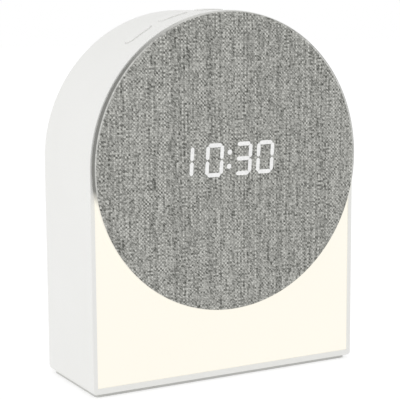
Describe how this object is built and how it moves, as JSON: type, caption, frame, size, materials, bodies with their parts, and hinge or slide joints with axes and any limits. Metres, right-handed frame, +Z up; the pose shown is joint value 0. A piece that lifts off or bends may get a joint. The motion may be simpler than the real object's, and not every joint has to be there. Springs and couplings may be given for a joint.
{
  "type": "sunrise alarm clock",
  "caption": "Arch-topped bedside sunrise alarm clock with a lit front panel, a cloth-covered disc with a clock display, and push buttons along the top.",
  "frame": {"origin": "centre of the bounding box's underside, where the base pad rests on the table", "axes": "+Z up; the face with the disc looks along -Y; +X to the viewer's right"},
  "size_m": [0.165, 0.0714, 0.2037],
  "materials": {
    "black_plastic": "moulded ABS, black",
    "black_rubber": "rubber half roll",
    "brass_pin": "nickel-flashed brass",
    "button_plastic": "fine matte moulded ABS, white",
    "capacitor_can": "aluminium cans",
    "case_plastic": "fine matte moulded ABS, white",
    "cell_steel": "nickel-plated steel cell",
    "chassis_plastic": "moulded ABS, off white",
    "chip_resin": "moulded resin packages",
    "circuit_board": "green solder resist on glass epoxy",
    "connector_nylon": "natural nylon",
    "copper": "enamelled copper wire",
    "cover_plastic": "fine matte moulded ABS, white",
    "ferrite": "sintered ferrite",
    "foam": "closed-cell foam",
    "grille_plastic": "moulded ABS, dark grey",
    "heathered_cloth": "plain-woven heathered polyester, grey",
    "lamp_board": "white solder resist on aluminium",
    "lamp_chip": "yellow phosphor lamp chips",
    "lead_jacket": "sleeved leads",
    "light_guide": "lit white light guides",
    "milky_acrylic": "opal acrylic, lit warm white",
    "paper_pulp": "black paper pulp",
    "polyimide": "amber polyimide film",
    "pressed_steel": "black coated pressed steel",
    "screw_steel": "zinc-plated steel screws",
    "silicone": "grey silicone, matt",
    "spider_cloth": "resin-dipped cloth",
    "switch_resin": "moulded resin",
    "switch_stem": "moulded resin",
    "terminal_board": "phenolic tab",
    "tinned_steel": "tinned steel can",
    "white_reflector": "white reflector plastic",
    "zinc_steel": "zinc-plated steel"
  },
  "bodies": {
    "case": {"backup_cell": "cell_steel", "base_pad": "silicone", "board_capacitors": "capacitor_can", "board_chips": "chip_resin", "board_connectors": "connector_nylon", "bracket_screws": "screw_steel", "button_bracket": "chassis_plastic", "button_lead": "lead_jacket", "cell_holder": "black_plastic", "chassis_screws": "screw_steel", "dc_jack": "black_plastic", "dc_jack_pin": "brass_pin", "display_board": "circuit_board", "display_housing": "black_plastic", "display_lead": "lead_jacket", "display_segments": "light_guide", "front_chassis": "chassis_plastic", "grille_fabric": "heathered_cloth", "grille_frame": "grille_plastic", "housing": "case_plastic", "light_board": "lamp_board", "light_box": "white_reflector", "light_diffuser": "milky_acrylic", "light_lead": "lead_jacket", "light_leds": "lamp_chip", "main_board": "circuit_board", "main_board_screws": "screw_steel", "radio_shield": "tinned_steel", "rear_cover": "cover_plastic", "rear_cover_screws": "screw_steel", "speaker_basket": "pressed_steel", "speaker_chamber": "black_plastic", "speaker_gasket": "foam", "speaker_lead": "lead_jacket", "speaker_magnet": "ferrite", "speaker_screws": "screw_steel", "speaker_spider": "spider_cloth", "speaker_surround": "black_rubber", "speaker_terminals": "terminal_board", "speaker_top_plate": "zinc_steel", "speaker_yoke": "zinc_steel", "switch_bodies": "switch_resin", "switch_flex": "polyimide"},
    "light_button": {"light_button": "button_plastic", "light_switch_stem": "switch_stem"},
    "volume_down_button": {"volume_down_button": "button_plastic", "volume_down_switch_stem": "switch_stem"},
    "snooze_button": {"snooze_button": "button_plastic", "snooze_switch_stem": "switch_stem"},
    "volume_up_button": {"volume_up_button": "button_plastic", "volume_up_switch_stem": "switch_stem"},
    "sound_button": {"sound_button": "button_plastic", "sound_switch_stem": "switch_stem"},
    "speaker_diaphragm": {"speaker_cone": "paper_pulp", "speaker_dust_cap": "paper_pulp", "speaker_voice_coil": "copper"}
  },
  "joints": [
    {"name": "light_press", "type": "slide", "parent": "case", "child": "light_button", "axis": [0.527, 0, -0.8499], "range_m": [0, 0.0005], "stiffness_N_per_m": 900, "springref_m": -0.001},
    {"name": "volume_down_press", "type": "slide", "parent": "case", "child": "volume_down_button", "axis": [0.274, 0, -0.9617], "range_m": [0, 0.0005], "stiffness_N_per_m": 900, "springref_m": -0.001},
    {"name": "snooze_press", "type": "slide", "parent": "case", "child": "snooze_button", "axis": [0, 0, -1], "range_m": [0, 0.0005], "stiffness_N_per_m": 900, "springref_m": -0.001},
    {"name": "volume_up_press", "type": "slide", "parent": "case", "child": "volume_up_button", "axis": [-0.274, 0, -0.9617], "range_m": [0, 0.0005], "stiffness_N_per_m": 900, "springref_m": -0.001},
    {"name": "sound_press", "type": "slide", "parent": "case", "child": "sound_button", "axis": [-0.527, 0, -0.8499], "range_m": [0, 0.0005], "stiffness_N_per_m": 900, "springref_m": -0.001},
    {"name": "speaker_stroke", "type": "slide", "parent": "case", "child": "speaker_diaphragm", "axis": [0, 1, 0], "range_m": [-0.0015, 0.0015], "stiffness_N_per_m": 1000, "deforming": ["speaker_surround", "speaker_spider"]}
  ]
}
